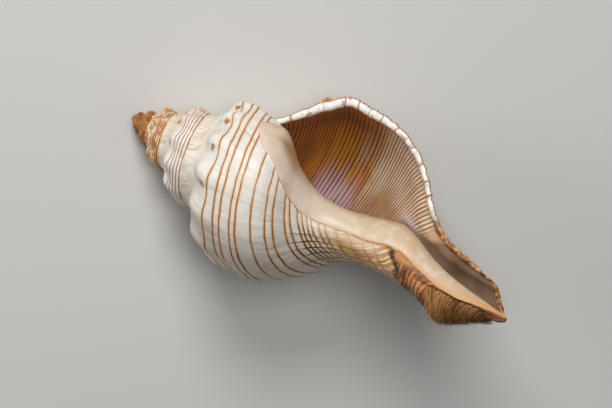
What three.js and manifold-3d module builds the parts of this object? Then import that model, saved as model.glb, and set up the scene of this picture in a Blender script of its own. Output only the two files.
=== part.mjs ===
// The shell of a trapezium horse conch, a right-handed sea snail, lying on its back with its mouth up.
// It is one closed body: the coiled outer face, the rim of the lip, and the hollow that winds in from the
// mouth, between the wall's inner face and the face of the pillar.
// Millimetres, +Z up, the apex towards -X. The origin is on the ground, under the middle of the shell.
import * as THREE from 'three';
import { mergeVertices } from 'three/addons/utils/BufferGeometryUtils.js';
import Module from 'manifold-3d';

// The coil. A place on it is given by its turn, 0 at the lip and -1 one turn earlier.
const GROWTH = 1.68; // every turn is this much larger than the one before
const POLE = 2.07; // the coil would shrink to a point this far beyond the worn apex
const FIRST_TURN = -5.25; // where the worn apex begins
const HOLLOW_TURN = -1.15; // where the hollow ends
const SPIRE_SWELL = 0.08; // the first turns are this much fatter than the growth alone gives
const SPIRE_SWELL_TURNS = [-0.8, -2.4];

// The outline of a turn, as [distance from the apex, radius], from the seam with the turn above, over the
// shoulder, to the end of the canal. It is given at the lip and at each quarter turn before it.
const LIP = [
  [40.2, 20.6], [44.5, 22.1], [49, 25.6], [55, 31.3], [61.7, 35.5], [69, 35.4], [76.4, 34.8], [83.7, 32.8],
  [91.3, 28.8], [97.7, 23.1], [102.5, 17.7], [107.9, 13.7], [114.5, 11.1], [120.9, 9.9], [127.9, 9.1],
  [134.9, 8.4], [138.4, 5.7], [140, 0.6],
];
const BACK = [
  [79, 24.4], [84.4, 19], [88.9, 14.2], [93.6, 10.8], [99.8, 8.9], [108.3, 7.8], [118.4, 7.5], [128.5, 6.8],
  [135.5, 4.7], [140, 0.6],
];
const OUTER_SIDE = [
  [64.1, 24.2], [68.9, 20.6], [73, 15.2], [77.2, 10.6], [81.4, 8], [87.2, 6.6], [99.8, 5.7], [111.4, 7.1],
  [122.2, 9.4], [130.1, 5.2], [140, 0.6],
];
const FRONT = [
  [60.9, 19], [64.7, 14.2], [68.3, 10.8], [71.7, 8.6], [78.9, 7], [89.1, 6.7], [100.2, 7], [111.4, 6],
  [125.7, 3.2], [140, 0.6],
];
const MOUTH_EDGE = [
  [44.9, 20.2], [49.3, 18.9], [53.1, 15.4], [56.6, 11.9], [60.5, 9.5], [65.2, 7.5], [72.5, 6.4],
  [81.1, 7.2], [92.3, 10.2], [101.2, 9.9], [114.5, 4.5], [140, 0.6],
];
const QUARTERS = [-1, -0.75, -0.5, -0.25, 0];
const SEAM_STATION = 5; // the outline from here on is hidden where the next turn covers it

// The pillar's face inside the hollow, from the corner below the seam to the floor of the hollow.
const CORNER = [44.4, 20.2];
const PILLAR_LOW = [
  [[41.4, 3.4], [46.5, 2.9], [51.5, 2.8], [56.3, 2.8], [61.1, 2.9], [66.2, 3]],
  [[47.7, 3.8], [53.5, 3.3], [59.2, 3.3], [65.5, 3.3], [71.6, 3.3], [78, 3.5]],
  [[55, 4.5], [63.6, 3.8], [73.2, 3.5], [83.4, 3.3], [92.3, 3.2], [101.2, 3.3]],
  [[63.3, 5.2], [73.8, 4.8], [85.9, 4.8], [99.3, 4.5], [116.1, 2.9], [137.5, 1.6]],
];
// The line where the wall meets the pillar, which opens into the canal at the mouth.
const FLOOR_TURNS = [-1, -0.75, -0.5, -0.36, -0.22];
const FLOOR_LINE = [[66.2, 3], [78, 3.5], [101.2, 3.3], [124.7, 3.2], [140, 0.6]];
const FLOOR_OPENS = [-0.55, -0.24];
const FLOOR_STATION = 12; // the wall's stations from here on lean towards the floor line

// The wall, the lip and the knobs.
const WALL = 2.55; // thickness behind the lip
const WALL_GROWTH = 0.6; // how strongly the wall thickens with the turns
const LIP_THINNING = 0.35;
const LIP_THINNING_TURN = 0.1;
const CANAL_THINNING = { 13: 0.9, 14: 0.8, 15: 0.7, 16: 0.6, 17: 0 }; // share of the wall, by station
const FLARE = 0.085; // the lip turns out by this share of its radius
const FLARE_TURN = 0.33;
const FLARE_STATIONS = [2, 12, 15];
const CANAL_LIP_TURN = -0.22; // the lip stays behind by this much at the end of the canal
const CANAL_LIP_STATION = 14;
const CANAL_BEND_TURN = -0.55; // from here on the columns bend towards the lip of the canal
const HOLLOW_BEND = 0.4; // and in the hollow from this share of its length on
const RIM_ROUNDING = 0.45; // how far the rim bulges, as a share of its thickness
const KNOB_HEIGHT = 3.3; // at the lip, and less behind it as the coil is smaller
const KNOB_SPIRE_GROWTH = 0.7; // above the last turn the knobs shrink more slowly than the coil
const KNOB_SHARPNESS = 2.6;
const KNOB_UNEVENNESS = 0.22; // share of a knob's height
const KNOB_UNEVEN_STEP = 12.99; // radians from knob to knob in the wave that makes them uneven
const KNOB_UNEVEN_START = 1.3;
const KNOBS_PER_TURN = 14; // at the lip
const KNOBS_FEWER = 1; // per turn and turn
const KNOB_OFFSET = 0.53;
const KNOB_STATION = 3;
const KNOB_REACH_UP = 0.05; // along the outline, as a share of its length
const KNOB_REACH_DOWN = 0.06;
const KNOB_FOLD = 0.14; // share of a knob's height that runs on as a low fold
const KNOB_FOLD_REACH = 0.19;

// The resting place: the knobs of the back are worn to small flats in the plane of the ground.
const LEAN = 29.5; // degrees that the axis dips towards the apex
const LOWEST_SIDE = -80; // degrees from the lip to the lowest line of the shell
const GROUND = 1.1; // the pole lies this far above the ground
const MIDDLE = [62.75, 4.8]; // the middle of the shell, from the pole
const GROUND_BLOCK = [300, 200, 40]; // what is cut away below the ground

// The net of faces.
const COLUMNS_PER_TURN = 52;
const HOLLOW_COLUMNS_PER_TURN = 20;
const SEAM_ROWS = [0, 0.045, 0.085, 0.12, 0.145, 0.165, 0.19, 0.225];
const LOWER_ROWS = 20;
const SLOPE_STEP = 0.002; // rows between the places from which a slope is taken

const SHELL_COLOUR = 0xf0e8dc;

const radians = THREE.MathUtils.degToRad;
const clamp = THREE.MathUtils.clamp;
const size = (turn) => GROWTH ** turn;
const scaled = (points, factor) => points.map(([a, r]) => [a * factor, r * factor]);
const fromPole = (points) => points.map(([a, r]) => [a + POLE, r]);

function ease(x) {
  const t = clamp(x, 0, 1);
  return t * t * (3 - 2 * t);
}

// A smooth curve through lists of numbers at the given knots. Each slope blends the chords beside it.
function smoothCurve(knots, values) {
  const spans = knots.slice(1).map((knot, i) => knot - knots[i]);
  const chords = spans.map((span, i) => values[i].map((v, c) => (values[i + 1][c] - v) / span));
  const slopes = values.map((value, i) => {
    if (i === 0) return chords[0];
    if (i === spans.length) return chords[i - 1];
    const share = spans[i] / (spans[i - 1] + spans[i]);
    return value.map((_, c) => chords[i - 1][c] * share + chords[i][c] * (1 - share));
  });
  return (x) => {
    let i = 0;
    while (i < spans.length - 1 && x >= knots[i + 1]) i += 1;
    const t = (x - knots[i]) / spans[i];
    const end = t * t * (3 - 2 * t);
    const leaving = t * (1 - t) * (1 - t) * spans[i];
    const arriving = t * t * (t - 1) * spans[i];
    return values[i].map((v, c) =>
      v * (1 - end) + values[i + 1][c] * end + slopes[i][c] * leaving + slopes[i + 1][c] * arriving);
  };
}

const pairs = (flat) => Array.from({ length: flat.length / 2 }, (_, i) => [flat[2 * i], flat[2 * i + 1]]);

// The outlines at the quarter turns, each at the size that it would have at the lip.
const lipOutline = fromPole(LIP);
const quarterOutlines = [
  [...scaled(lipOutline.slice(0, 6), size(-1)), ...fromPole(MOUTH_EDGE)],
  [...scaled(lipOutline.slice(0, 8), size(-0.75)), ...fromPole(FRONT)],
  [...scaled(lipOutline.slice(0, 7), size(-0.5)), ...fromPole(OUTER_SIDE)],
  [...scaled(lipOutline.slice(0, 8), size(-0.25)), ...fromPole(BACK)],
  lipOutline,
];
const outlineAt = smoothCurve(QUARTERS, quarterOutlines.map((o, i) => scaled(o, 1 / size(QUARTERS[i])).flat()));

// A row is a share of the outline's length, from 0 at the seam to 1 at the end of the canal.
const STATIONS = [0];
for (let i = 1; i < lipOutline.length; i += 1) {
  const [[a0, r0], [a1, r1]] = [lipOutline[i - 1], lipOutline[i]];
  STATIONS.push(STATIONS[i - 1] + Math.hypot(a1 - a0, r1 - r0));
}
const outlineLength = STATIONS.at(-1);
STATIONS.forEach((length, i) => { STATIONS[i] = length / outlineLength; });

// How much fatter the coil is than the growth alone gives. It changes down the rows so that each turn meets
// the next one at the seam.
function swell(turn, row) {
  const [start, end] = SPIRE_SWELL_TURNS;
  const reached = turn + row / STATIONS[SEAM_STATION];
  return 1 + SPIRE_SWELL * ease((start - reached) / (start - end));
}

// How much of the lip's flare a place on the shell has.
function flare(turn, row) {
  const [from, to, end] = FLARE_STATIONS.map((station) => STATIONS[station]);
  const nearLip = clamp((turn + FLARE_TURN) / FLARE_TURN, 0, 1) ** 2;
  return 1 + FLARE * nearLip * ease(row / from) * (1 - ease((row - to) / (end - to)));
}

// How far the knobs stand out of the shell, in mm.
function knobHeight(turn, row) {
  const count = (KNOBS_PER_TURN + KNOBS_FEWER * turn) * turn + KNOB_OFFSET;
  const nearest = Math.round(count);
  const unevenness = 1 + KNOB_UNEVENNESS * Math.sin(nearest * KNOB_UNEVEN_STEP + KNOB_UNEVEN_START);
  const across = Math.cos(Math.PI * (count - nearest)) ** KNOB_SHARPNESS;
  const x = row - STATIONS[KNOB_STATION];
  const peak = Math.exp(-((x / (x < 0 ? KNOB_REACH_UP : KNOB_REACH_DOWN)) ** 2));
  const fold = Math.exp(-((x / KNOB_FOLD_REACH) ** 2));
  const along = x < 0 ? peak : peak * (1 - KNOB_FOLD) + fold * KNOB_FOLD;
  const scale = turn > -1 ? size(turn) : size(-1) * size(turn + 1) ** KNOB_SPIRE_GROWTH;
  return KNOB_HEIGHT * scale * unevenness * Math.abs(across) * along;
}

// A place on the outer face, as [distance from the pole, radius].
function outerFace(turn, row) {
  const stations = pairs(outlineAt(clamp(turn, -1, 0)));
  const curve = smoothCurve(STATIONS, stations);
  const [a, r] = curve(row);
  const [ahead, behind] = [curve(Math.min(row + SLOPE_STEP, 1)), curve(Math.max(row - SLOPE_STEP, 0))];
  const [da, dr] = [ahead[0] - behind[0], ahead[1] - behind[1]];
  const slope = Math.hypot(da, dr);
  const knob = knobHeight(turn, row);
  return [
    a * size(turn) - (knob * dr) / slope,
    r * size(turn) * swell(turn, row) * flare(turn, row) + (knob * da) / slope,
  ];
}

const floorAt = smoothCurve(FLOOR_TURNS, FLOOR_TURNS.map((t, i) => scaled(fromPole([FLOOR_LINE[i]]), 1 / size(t))[0]));
function floorPoint(turn) {
  const behindLip = Math.min(turn, CANAL_LIP_TURN);
  return floorAt(Math.max(behindLip, -1)).map((v) => v * size(behindLip));
}
const cornerPoint = (turn) => scaled(fromPole([CORNER]), size(turn))[0];

// The wall's inner face: the outline moved in by the wall's thickness, and led to the floor line where the
// hollow is closed.
function innerStations(turn) {
  const stations = scaled(pairs(outlineAt(clamp(turn, -0.75, 0))), size(turn));
  const thickness = WALL * size(turn) ** WALL_GROWTH
    * (1 - LIP_THINNING * ease((turn + LIP_THINNING_TURN) / LIP_THINNING_TURN));
  const last = stations.length - 1;
  const inside = stations.map(([a, r], i) => {
    if (i === 0) return cornerPoint(turn);
    const [before, after] = [stations[i - 1], stations[Math.min(i + 1, last)]];
    const [da, dr] = [after[0] - before[0], after[1] - before[1]];
    const depth = (thickness * (CANAL_THINNING[i] ?? 1)) / Math.hypot(da, dr);
    return [a + dr * depth, (r - da * depth) * flare(turn, STATIONS[i])];
  });
  const floor = floorPoint(turn);
  const open = ease((turn - FLOOR_OPENS[0]) / (FLOOR_OPENS[1] - FLOOR_OPENS[0]));
  const leader = inside[FLOOR_STATION - 1];
  return inside.map(([a, r], i) => {
    if (i < FLOOR_STATION) return [a, r];
    if (i === last) return floor;
    const x = (i - FLOOR_STATION + 1) / (last - FLOOR_STATION + 1);
    const closed = leader.map((v, c) => v * (1 - x) + floor[c] * x);
    return [closed[0] * (1 - open) + a * open, closed[1] * (1 - open) + r * open];
  });
}

const FIRST_PILLAR_STATION = SEAM_STATION + 1;
const FIRST_LOW_STATION = 12;
const edgeTop = quarterOutlines[0].slice(FIRST_PILLAR_STATION + 1, FIRST_LOW_STATION);
const pillarTables = QUARTERS.map((turn, i) => {
  const low = i < PILLAR_LOW.length ? fromPole(PILLAR_LOW[i]) : quarterOutlines[0].slice(FIRST_LOW_STATION);
  const table = [cornerPoint(turn), ...scaled(edgeTop, size(turn)), ...low];
  return scaled(table, 1 / size(turn)).flat();
});
const pillarAt = smoothCurve(QUARTERS, pillarTables);

// The pillar's face, with its last station on the floor line.
function pillarStations(turn) {
  const stations = scaled(pairs(pillarAt(clamp(turn, -1, 0))), size(turn));
  return [...stations.slice(0, -1), floorPoint(turn)];
}

// A place on the coil in the lying shell's frame. The polar angle grows with the turn.
function placed([a, r], turn) {
  const angle = 2 * Math.PI * turn - radians(LOWEST_SIDE);
  const lean = radians(LEAN);
  const down = r * Math.cos(angle);
  return [
    Math.cos(lean) * a + Math.sin(lean) * down - MIDDLE[0],
    r * Math.sin(angle) - MIDDLE[1],
    Math.sin(lean) * a - Math.cos(lean) * down + GROUND,
  ];
}

// The net that all the faces share.
const points = [];
const triangles = [];
function addPoint(place, turn) {
  points.push(placed(place, turn));
  return points.length - 1;
}
function addTriangle(...corners) {
  if (new Set(corners).size === 3) triangles.push(corners);
}
// Joins neighbouring columns of points. The faces look to the side from which a column's rows run down and
// the next column lies to the right.
function joinColumns(left, right) {
  for (let j = 0; j < left.length - 1; j += 1) {
    addTriangle(left[j], right[j], right[j + 1]);
    addTriangle(left[j], right[j + 1], left[j + 1]);
  }
}
function closeLoop(loop, place, turn) {
  const centre = addPoint(place, turn);
  loop.forEach((point, i) => addTriangle(loop[(i + 1) % loop.length], point, centre));
}
const middleOf = (places) => [0, 1].map((c) => places.reduce((sum, p) => sum + p[c], 0) / places.length);

const seamRow = STATIONS[SEAM_STATION];
const rows = [...SEAM_ROWS];
for (let i = 0; i <= LOWER_ROWS; i += 1) rows.push(seamRow + ((1 - seamRow) * i) / LOWER_ROWS);
const shared = SEAM_ROWS.length; // the row that is also the next turn's seam
const lastRow = rows.length - 1;

// At the canal's end the lip stays behind the turn 0.
const canalLip = STATIONS[CANAL_LIP_STATION];
const lipTurn = (row) => CANAL_LIP_TURN * ease((row - canalLip) / (1 - canalLip));

// The outer face, column by column. Only the last turn shows its rows below the seam.
const columns = Math.round(-FIRST_TURN * COLUMNS_PER_TURN);
const firstWhole = columns - COLUMNS_PER_TURN;
const outer = [];
for (let i = 0; i <= columns; i += 1) {
  const turn = (i - columns) / COLUMNS_PER_TURN;
  const bend = ease(1 - turn / CANAL_BEND_TURN);
  const whole = i >= firstWhole;
  const count = whole ? lastRow : shared;
  outer.push(rows.slice(0, count + 1).map((row, j) => {
    const sharedWithNext = j === shared && i <= firstWhole;
    const canalEnd = j === lastRow && i > firstWhole;
    if (sharedWithNext || canalEnd) return -1;
    const bent = whole ? turn + lipTurn(row) * bend : turn;
    return addPoint(outerFace(bent, row), bent);
  }));
}
for (let i = 0; i <= firstWhole; i += 1) outer[i][shared] = outer[i + COLUMNS_PER_TURN][0];
const canalEnd = outer[firstWhole][lastRow];
for (let i = firstWhole; i <= columns; i += 1) outer[i][lastRow] = canalEnd;
for (let i = 0; i < columns; i += 1) {
  const count = i >= firstWhole ? lastRow : shared;
  joinColumns(outer[i].slice(0, count + 1), outer[i + 1].slice(0, count + 1));
}

// The worn apex closes the first turn.
const apexLoop = [
  ...outer.slice(0, COLUMNS_PER_TURN).map((column) => column[0]),
  ...outer[0].slice(1, shared + 1).reverse(),
];
closeLoop(apexLoop, [POLE, 0], FIRST_TURN);

// The hollow: the wall's inner face and the pillar's face, which meet in the corner and on the floor line.
const lipColumn = outer[columns];
const edgeColumn = outer[firstWhole].slice(shared + 1);
const hollowColumns = Math.round(-HOLLOW_TURN * HOLLOW_COLUMNS_PER_TURN);
const pillarKnots = STATIONS.slice(FIRST_PILLAR_STATION);
const pillarRows = edgeColumn.map((_, j) => {
  const [first, row] = [rows[shared + 1], rows[shared + 1 + j]];
  return pillarKnots[0] + ((row - first) / (1 - first)) * (1 - pillarKnots[0]);
});
const wallFace = [];
const pillarFace = [];
let deepPlaces = [];
for (let i = 0; i <= hollowColumns; i += 1) {
  const turn = HOLLOW_TURN * (1 - i / hollowColumns);
  const bend = ease((i / hollowColumns - HOLLOW_BEND) / (1 - HOLLOW_BEND));
  const atLip = i === hollowColumns;
  const wallPlaces = rows.map((row) => {
    const bent = turn + lipTurn(row) * bend;
    return [smoothCurve(STATIONS, innerStations(bent))(row), bent];
  });
  const wall = wallPlaces.map(([place, bent], j) => {
    if (atLip && j === 0) return edgeColumn[0];
    if (atLip && j === lastRow) return canalEnd;
    return addPoint(place, bent);
  });
  const pillarCurve = smoothCurve(pillarKnots, pillarStations(turn));
  const pillar = pillarRows.map((row, j) => {
    if (atLip) return edgeColumn[j];
    if (j === 0) return wall[0];
    if (j === pillarRows.length - 1) return wall[lastRow];
    return addPoint(pillarCurve(row), turn);
  });
  if (i === 0) deepPlaces = wallPlaces.map(([place]) => place);
  wallFace.push(wall);
  pillarFace.push(pillar);
}
for (let i = 0; i < hollowColumns; i += 1) {
  joinColumns(wallFace[i + 1], wallFace[i]);
  joinColumns(pillarFace[i], pillarFace[i + 1]);
}
closeLoop([...wallFace[0], ...pillarFace[0].slice(1, -1).reverse()], middleOf(deepPlaces), HOLLOW_TURN);

// The rounded rim between the outer face and the wall's inner face.
const innerLip = wallFace[hollowColumns];
const rim = rows.map((row, j) => {
  if (j === 0) return innerLip[0];
  if (j === lastRow) return canalEnd;
  const outside = new THREE.Vector3(...points[lipColumn[j]]);
  const inside = new THREE.Vector3(...points[innerLip[j]]);
  const thickness = outside.distanceTo(inside);
  const turn = lipTurn(row);
  const onward = new THREE.Vector3(...placed([0, 1], turn + 0.25)).sub(new THREE.Vector3(...placed([0, 0], 0)));
  points.push(outside.lerp(inside, 0.5).addScaledVector(onward, thickness * RIM_ROUNDING).toArray());
  return points.length - 1;
});
joinColumns(lipColumn, rim);
joinColumns(rim, innerLip);

// The knobs that carry the shell are cut flat at the ground.
const wasm = await Module();
wasm.setup();
function solid(vertProperties, triVerts) {
  return new wasm.Manifold(new wasm.Mesh({ numProp: 3, vertProperties, triVerts }));
}
function belowGround() {
  const [length, width, depth] = GROUND_BLOCK;
  const block = new THREE.BoxGeometry(length, width, depth);
  block.deleteAttribute('normal');
  block.deleteAttribute('uv');
  const merged = mergeVertices(block.translate(0, 0, -depth / 2));
  return solid(new Float32Array(merged.attributes.position.array), new Uint32Array(merged.index.array));
}
const coiled = solid(new Float32Array(points.flat()), new Uint32Array(triangles.flat()));
const worn = coiled.subtract(belowGround()).getMesh();

const geometry = new THREE.BufferGeometry();
geometry.setAttribute('position', new THREE.BufferAttribute(worn.vertProperties, worn.numProp));
geometry.setIndex(new THREE.BufferAttribute(worn.triVerts, 1));
geometry.computeVertexNormals();
const material = new THREE.MeshStandardMaterial({ color: SHELL_COLOUR, roughness: 0.4, metalness: 0 });
const shell = new THREE.Mesh(geometry, material);
shell.name = 'shell';

const part = new THREE.Group();
part.add(shell);
export default part;
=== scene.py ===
"""A trapezium horse conch shell lying on its back, seen from above its mouth.

The fine surface takes the place of the CAD shell: the same coil, with the cords, the glaze round the mouth,
the ribs of the mouth's lining and the folds near the canal modelled on it. The hairs that fringe the canal
are a piece of their own.
"""
import math

import bpy
import numpy as np
from mathutils import Matrix, Vector


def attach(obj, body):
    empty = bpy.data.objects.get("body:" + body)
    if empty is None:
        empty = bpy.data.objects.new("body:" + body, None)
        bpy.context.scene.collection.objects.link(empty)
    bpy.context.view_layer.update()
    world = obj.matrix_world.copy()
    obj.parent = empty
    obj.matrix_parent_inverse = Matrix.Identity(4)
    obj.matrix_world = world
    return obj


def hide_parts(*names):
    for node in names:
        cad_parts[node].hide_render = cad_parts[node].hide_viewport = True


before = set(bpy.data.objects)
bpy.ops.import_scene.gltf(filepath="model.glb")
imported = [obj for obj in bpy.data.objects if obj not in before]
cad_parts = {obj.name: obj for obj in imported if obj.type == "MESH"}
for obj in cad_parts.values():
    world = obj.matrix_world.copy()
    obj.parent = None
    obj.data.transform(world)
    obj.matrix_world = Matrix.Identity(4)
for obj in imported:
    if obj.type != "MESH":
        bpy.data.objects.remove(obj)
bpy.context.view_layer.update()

# The coil, in millimetres. A place on it is given by its turn, 0 at the lip and -1 one turn earlier, and
# by its row, a share of the outline's length from 0 at the seam to 1 at the end of the canal.
GROWTH = 1.68  # every turn is this much larger than the one before
POLE = 2.07  # the coil would shrink to a point this far beyond the worn apex
FIRST_TURN = -5.25
HOLLOW_TURN = -1.15
SPIRE_SWELL = 0.08
SPIRE_SWELL_TURNS = (-0.8, -2.4)

# The outline of a turn, as (distance from the apex, radius).
LIP = [
    (40.2, 20.6), (44.5, 22.1), (49, 25.6), (55, 31.3), (61.7, 35.5), (69, 35.4), (76.4, 34.8),
    (83.7, 32.8), (91.3, 28.8), (97.7, 23.1), (102.5, 17.7), (107.9, 13.7), (114.5, 11.1),
    (120.9, 9.9), (127.9, 9.1), (134.9, 8.4), (138.4, 5.7), (140, 0.6),
]
BACK = [
    (79, 24.4), (84.4, 19), (88.9, 14.2), (93.6, 10.8), (99.8, 8.9), (108.3, 7.8), (118.4, 7.5),
    (128.5, 6.8), (135.5, 4.7), (140, 0.6),
]
OUTER_SIDE = [
    (64.1, 24.2), (68.9, 20.6), (73, 15.2), (77.2, 10.6), (81.4, 8), (87.2, 6.6), (99.8, 5.7),
    (111.4, 7.1), (122.2, 9.4), (130.1, 5.2), (140, 0.6),
]
FRONT = [
    (60.9, 19), (64.7, 14.2), (68.3, 10.8), (71.7, 8.6), (78.9, 7), (89.1, 6.7), (100.2, 7),
    (111.4, 6), (125.7, 3.2), (140, 0.6),
]
MOUTH_EDGE = [
    (44.9, 20.2), (49.3, 18.9), (53.1, 15.4), (56.6, 11.9), (60.5, 9.5), (65.2, 7.5), (72.5, 6.4),
    (81.1, 7.2), (92.3, 10.2), (101.2, 9.9), (114.5, 4.5), (140, 0.6),
]
QUARTERS = np.array([-1, -0.75, -0.5, -0.25, 0])
SEAM_STATION = 5

# The pillar's face inside the hollow and the line where the wall meets it.
CORNER = (44.4, 20.2)
PILLAR_LOW = [
    [(41.4, 3.4), (46.5, 2.9), (51.5, 2.8), (56.3, 2.8), (61.1, 2.9), (66.2, 3)],
    [(47.7, 3.8), (53.5, 3.3), (59.2, 3.3), (65.5, 3.3), (71.6, 3.3), (78, 3.5)],
    [(55, 4.5), (63.6, 3.8), (73.2, 3.5), (83.4, 3.3), (92.3, 3.2), (101.2, 3.3)],
    [(63.3, 5.2), (73.8, 4.8), (85.9, 4.8), (99.3, 4.5), (116.1, 2.9), (137.5, 1.6)],
]
FLOOR_TURNS = np.array([-1, -0.75, -0.5, -0.36, -0.22])
FLOOR_LINE = [(66.2, 3), (78, 3.5), (101.2, 3.3), (124.7, 3.2), (140, 0.6)]
FLOOR_OPENS = (-0.55, -0.24)
FLOOR_STATION = 12

# The wall, the lip and the knobs.
WALL = 2.55
WALL_GROWTH = 0.6
LIP_EDGE_TURN = 0.045
LIP_EDGE_SHARES = [0.7, 0.85, 1.05, 1.2, 1.15, 1, 0.8, 0.6, 0.5, 0.45] + 8 * [0.4]
CANAL_THINNING = {12: 0.95, 13: 0.85, 14: 0.7, 15: 0.6, 16: 0.55, 17: 0}
FLARE = 0.085
FLARE_TURN = 0.33
FLARE_STATIONS = (2, 12, 15)
CANAL_LIP_TURN = -0.22
CANAL_LIP_STATION = 14
CANAL_BEND_TURN = 0.55
CANAL_BEND_START = 0.4
KNOB_HEIGHT = 3.3
KNOB_SPIRE_GROWTH = 0.7
KNOB_SHARPNESS = 2.6
KNOBS_PER_TURN = 14
KNOBS_FEWER = 1
KNOB_OFFSET = 0.53
KNOB_STATION = 3
KNOB_REACH_UP = 0.05
KNOB_REACH_DOWN = 0.06
KNOB_FOLD = 0.24
KNOB_FOLD_REACH = 0.19
KNOB_UNEVENNESS = 0.22
KNOB_UNEVEN_STEP = 12.99
KNOB_UNEVEN_START = 1.3

# The resting place.
LEAN = 29.5
LOWEST_SIDE = -80
GROUND = 1.1
MIDDLE = (62.75, 4.8)

# The brown lines, by row, and the edge of the glaze, by row and turn.
LINE_ROWS = [
    0.218, 0.259, 0.286, 0.329, 0.352, 0.41, 0.467, 0.498, 0.548, 0.571, 0.605, 0.625, 0.648, 0.671,
    0.699, 0.719, 0.745, 0.77, 0.796, 0.82,
]
LINE_DRIFT = 0.15
LINE_DRIFT_TURNS = (-0.95, -0.7, -0.5)
LINE_DRIFT_ROWS = (0.55, 0.7)
SPIRE_ROWS = [0.19, 0.214, 0.236, 0.258, 0.28]
FAINT_ROWS = [0.095, 0.112, 0.13]
NET_TURNS = [-0.65, -0.612, -0.575, -0.54, -0.49, -0.43]
SPOT_BESIDE_KNOB = 0.25
TICK_ROWS = [0.06, 0.105, 0.146, 0.21, 0.255, 0.29, 0.33, 0.38, 0.42, 0.467, 0.5, 0.548, 0.585]
GLAZE_EDGE = [
    (0.25, -0.9), (0.31, -0.885), (0.323, -0.861), (0.359, -0.836), (0.435, -0.818), (0.487, -0.791),
    (0.539, -0.768), (0.611, -0.736), (0.701, -0.726), (0.76, -0.748), (0.806, -0.771), (0.854, -0.808),
    (0.885, -0.812), (0.902, -0.79), (0.918, -0.751), (0.93, -0.711), (0.946, -0.693), (0.976, -0.743),
    (1, -0.8),
]
GLAZE_TOP = [
    (-1, 0.402), (-0.963, 0.389), (-0.943, 0.371), (-0.931, 0.349), (-0.918, 0.331), (-0.906, 0.313),
    (-0.88, 0.29),
]
GROWTH_BEND = [(0.7, 0), (0.75, 0.028), (0.775, 0.055), (0.8, 0.095), (0.836, 0.16), (0.86, 0.22), (1, 0.3)]

# The neck, where the lines are broad and the folds ochre.
NECK_ROWS = (0.54, 0.62, 0.83, 0.86)

# The fine relief. Heights are millimetres at the lip, reaches are rows or turns.
GLAZE_HEIGHT = 0.35
GLAZE_START = (-0.995, -0.93)
GLAZE_EDGE_BLEND = (-0.004, 0.004)
GLAZE_TOP_BLEND = (-0.003, 0.006)
BAND_EDGE = [
    (-1, 0.862), (-0.816, 0.866), (-0.77, 0.86), (-0.72, 0.862), (-0.68, 0.862), (-0.606, 0.842),
    (-0.5, 0.838), (-0.25, 0.85), (0, 0.88),
]
BAND_BLEND = (-0.003, 0.005)
BAND_ENDS = (-0.42, -0.12)
GROOVE_DEPTH = 0.55
GROOVE_REACH = 0.007
LAMELLAE = 118
LAMELLA_SLANT = 32
LAMELLA_HEIGHT = 0.3
LAMELLA_LEVEL = 0.6
CORD_HEIGHT = 0.2
NECK_CORD_HEIGHT = 0.3
LIP_CORD_HEIGHT = 0.35
LAST_TURN_ROW = 0.25
CORD_ROUNDNESS = 0.7
CORD_ROWS = (0.26, 0.36)
NECK_CORD_ROWS = (0.5, 0.62, 0.84, 0.88)
LIP_CORD_ROWS = (0.2, 0.3, 0.7, 0.8)
LIP_CORD_TURNS = (-0.05, 0)
FOLD_HEIGHT = 0.4
NECK_FOLD_HEIGHT = 0.3
NECK_FOLD_ROWS = (0.6, 0.74, 0.85, 0.87)
GRAIN_HEIGHT = 0.12
WORN_TURNS = (-2.6, -4)
WORN_DEPTH = 0.5

# The grains: bumps to a turn, bumps to the outline's length, and the seed of their random heights.
FOLD_GRAIN = (17, 4, 11)
NECK_FOLD_GRAIN = (26, 6, 9)
FINE_GRAIN = (60, 20, 7)
WORN_GRAIN = (30, 22, 3)
WORN_FINE_GRAIN = (64, 50, 5)
LIP_WAVE_GRAIN = (55, 0, 21)
LIP_FINE_GRAIN = (140, 0, 22)

# The uneven edge of the lip.
LIP_WAVE = 0.004
LIP_WAVE_TURNS = (-0.04, 0)
LIP_WAVE_ROWS = (0.03, 0.1, 0.9, 0.99)

# The ribs inside the mouth, the edge of the canal's trough, and the bed of the fringe.
RIB_COUNT = [(0, 0), (0.2, 20), (0.345, 30), (0.7, 62)]
RIB_HEIGHT = 0.22
RIB_ROWS = (0.03, 0.06, 0.66, 0.7)
RIB_START = (0.008, 0.035)
TROUGH_EDGE = [
    (0, 0.715), (0.042, 0.699), (0.072, 0.664), (0.09, 0.637), (0.106, 0.6), (0.13, 0.592), (0.3, 0.57),
]
FRINGE_ROWS = (0.9, 0.925, 0.975, 0.99)
FRINGE_TURNS = (-0.71, -0.68, -0.4, -0.33)
FRINGE_RECESS = 1.2

# The fringe of hairs, by row and turn; thicknesses are millimetres.
HAIRS = 2200
HAIR_SEED = 12
HAIR_JOINTS = 9
HAIR_ROOT_ROWS = (0.916, 0.974)
HAIR_ROOT_TURNS = (-0.71, -0.5)
HAIR_TURNS = (0.1, 0.26)
HAIR_DRIFT = -0.09
HAIR_DRIFT_SPREAD = 0.012
HAIR_CURL = 0.0012
HAIR_ROOT_LIFT = -0.15
HAIR_LIFT = (0.5, 1.9)
HAIR_THICKNESS = (0.16, 0.34)
HAIR_SHADES = (0.05, 0.22)
LAST_HAIR_ROW = 0.995
END_SHADE = 0.45
TUFTS = 46
TUFT_LIFT = (-0.6, 0.8)
TUFT_SHADES = (-0.1, 0.45)
HAIR_GATHER = 0.75
STRAY_SHARE = 0.07
STRAY_LIFT = 1.7
STRAY_THICKNESS = 0.5

# How wide the white margin of the lip is, in millimetres, by row, how far the rim lies inside it, and the
# least radius by which turns are taken as millimetres.
MARGIN = [
    (0, 1.2), (0.1, 1.2), (0.2, 1.4), (0.3, 1.3), (0.36, 1.3), (0.46, 1.8), (0.56, 1.5), (0.63, 1),
    (0.7, 0.6),
]
RIM_MARGIN = 1.5
LEAST_RADIUS = 9

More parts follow.
